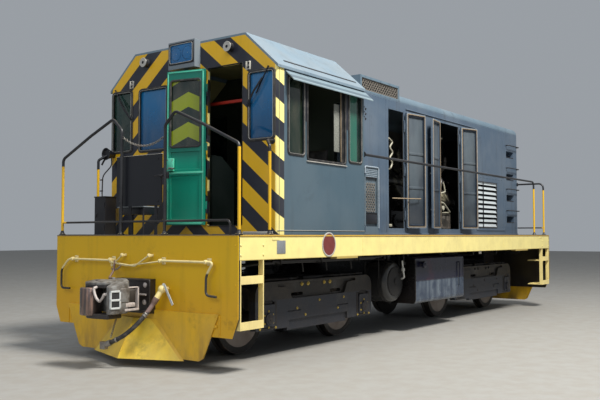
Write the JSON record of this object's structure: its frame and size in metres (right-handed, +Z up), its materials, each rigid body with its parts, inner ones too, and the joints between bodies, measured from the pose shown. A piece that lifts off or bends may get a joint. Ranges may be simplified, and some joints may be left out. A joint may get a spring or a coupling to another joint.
{
  "type": "diesel locomotive",
  "caption": "Narrow-gauge road-switcher locomotive with an end cab, long hood, two four-wheel trucks, hinged hood doors and knuckle couplers.",
  "frame": {"origin": "centre of the locomotive between its two end plates, at the lowest point of the wheel flanges", "axes": "+X towards the hood end (the cab end is at -X), -Y towards the side with the open hood doors, +Z up"},
  "size_m": [10.663, 2.948, 3.704],
  "materials": {
    "yellow_paint": "satin",
    "sill_paint": "satin",
    "grey_paint": "satin",
    "roof_paint": "matte",
    "underframe_paint": "matte",
    "truck_casting": "matte",
    "wheel_steel": "worn",
    "black_paint": "satin",
    "tank_paint": "satin",
    "green_paint": "satin",
    "engine_paint": "oily",
    "radiator_core": "matte",
    "window_glass": "clear",
    "lamp_housing": "satin",
    "seat_cover": "matte",
    "coupler_casting": "rusty",
    "hose_rubber": "matte"
  },
  "bodies": {
    "chassis": {"air_reservoirs": "underframe_paint", "angle_cocks": "yellow_paint", "brake_hose_front": "hose_rubber", "cab_front": "grey_paint", "cab_glass": "window_glass", "cab_rear": "grey_paint", "cab_roof": "roof_paint", "cab_seats": "seat_cover", "cab_side_far": "grey_paint", "cab_side_near": "grey_paint", "control_stand": "green_paint", "corner_steps": "sill_paint", "coupler_front": "coupler_casting", "coupler_rear": "coupler_casting", "deck_cabinets": "grey_paint", "draft_boxes": "black_paint", "end_plate_front": "yellow_paint", "end_plate_rear": "yellow_paint", "end_rails": "black_paint", "engine_set": "engine_paint", "equipment_shield": "grey_paint", "fuel_tank": "tank_paint", "grab_irons": "black_paint", "headlights": "lamp_housing", "hood_end": "grey_paint", "hood_roof": "roof_paint", "hood_side_far": "grey_paint", "hood_side_near": "grey_paint", "hose_coupling": "coupler_casting", "intake_box": "grey_paint", "louvre_panels": "grey_paint", "pilot_front": "yellow_paint", "pilot_rear": "yellow_paint", "radiator": "radiator_core", "roof_steps": "grey_paint", "side_rails": "black_paint", "side_sills": "sill_paint", "uncoupling_levers": "black_paint", "underframe": "underframe_paint", "window_awnings": "roof_paint"},
    "cab_door": {"cab_door": "green_paint", "cab_door_glass": "window_glass"},
    "hood_door_far_a": {"hood_door_far_a": "grey_paint"},
    "hood_door_far_b": {"hood_door_far_b": "grey_paint"},
    "hood_door_far_c": {"hood_door_far_c": "grey_paint"},
    "hood_door_near_a": {"hood_door_near_a": "grey_paint"},
    "hood_door_near_b": {"hood_door_near_b": "grey_paint"},
    "hood_door_near_c": {"hood_door_near_c": "grey_paint"},
    "truck_front": {"truck_front_bolster": "truck_casting", "truck_front_brakes": "truck_casting", "truck_front_motors": "truck_casting", "truck_front_sideframes": "truck_casting"},
    "truck_rear": {"truck_rear_bolster": "truck_casting", "truck_rear_brakes": "truck_casting", "truck_rear_motors": "truck_casting", "truck_rear_sideframes": "truck_casting"},
    "wheelset_front_1": {"wheelset_front_1": "wheel_steel"},
    "wheelset_front_2": {"wheelset_front_2": "wheel_steel"},
    "wheelset_rear_1": {"wheelset_rear_1": "wheel_steel"},
    "wheelset_rear_2": {"wheelset_rear_2": "wheel_steel"}
  },
  "joints": [
    {"name": "truck_front_swivel", "type": "hinge", "parent": "chassis", "child": "truck_front", "pos_m": [-2.6115, 0, 0.955], "axis": [0, 0, 1], "range_deg": [-5, 5]},
    {"name": "wheelset_front_1_roll", "type": "hinge", "parent": "truck_front", "child": "wheelset_front_1", "pos_m": [-3.6515, 0, 0.445], "axis": [0, 1, 0], "continuous": true},
    {"name": "wheelset_front_2_roll", "type": "hinge", "parent": "truck_front", "child": "wheelset_front_2", "pos_m": [-1.5715, 0, 0.445], "axis": [0, 1, 0], "continuous": true},
    {"name": "truck_rear_swivel", "type": "hinge", "parent": "chassis", "child": "truck_rear", "pos_m": [2.6115, 0, 0.955], "axis": [0, 0, 1], "range_deg": [-5, 5]},
    {"name": "wheelset_rear_1_roll", "type": "hinge", "parent": "truck_rear", "child": "wheelset_rear_1", "pos_m": [1.5715, 0, 0.445], "axis": [0, 1, 0], "continuous": true},
    {"name": "wheelset_rear_2_roll", "type": "hinge", "parent": "truck_rear", "child": "wheelset_rear_2", "pos_m": [3.6515, 0, 0.445], "axis": [0, 1, 0], "continuous": true},
    {"name": "cab_door_hinge", "type": "hinge", "parent": "chassis", "child": "cab_door", "pos_m": [-4.0035, -0.334, 1.516], "axis": [0, 0, 1], "range_deg": [0, 168]},
    {"name": "hood_door_near_a_hinge", "type": "hinge", "parent": "chassis", "child": "hood_door_near_a", "pos_m": [-0.1355, -0.842, 1.506], "axis": [0, 0, 1], "range_deg": [-169, 0]},
    {"name": "hood_door_near_b_hinge", "type": "hinge", "parent": "chassis", "child": "hood_door_near_b", "pos_m": [1.0195, -0.842, 1.506], "axis": [0, 0, 1], "range_deg": [0, 171]},
    {"name": "hood_door_near_c_hinge", "type": "hinge", "parent": "chassis", "child": "hood_door_near_c", "pos_m": [1.8645, -0.842, 1.506], "axis": [0, 0, 1], "range_deg": [-162, 0]},
    {"name": "hood_door_far_a_hinge", "type": "hinge", "parent": "chassis", "child": "hood_door_far_a", "pos_m": [-0.1355, 0.842, 1.506], "axis": [0, 0, 1], "range_deg": [-169, 0]},
    {"name": "hood_door_far_b_hinge", "type": "hinge", "parent": "chassis", "child": "hood_door_far_b", "pos_m": [1.0195, 0.842, 1.506], "axis": [0, 0, 1], "range_deg": [0, 171]},
    {"name": "hood_door_far_c_hinge", "type": "hinge", "parent": "chassis", "child": "hood_door_far_c", "pos_m": [1.8645, 0.842, 1.506], "axis": [0, 0, 1], "range_deg": [-162, 0]}
  ]
}
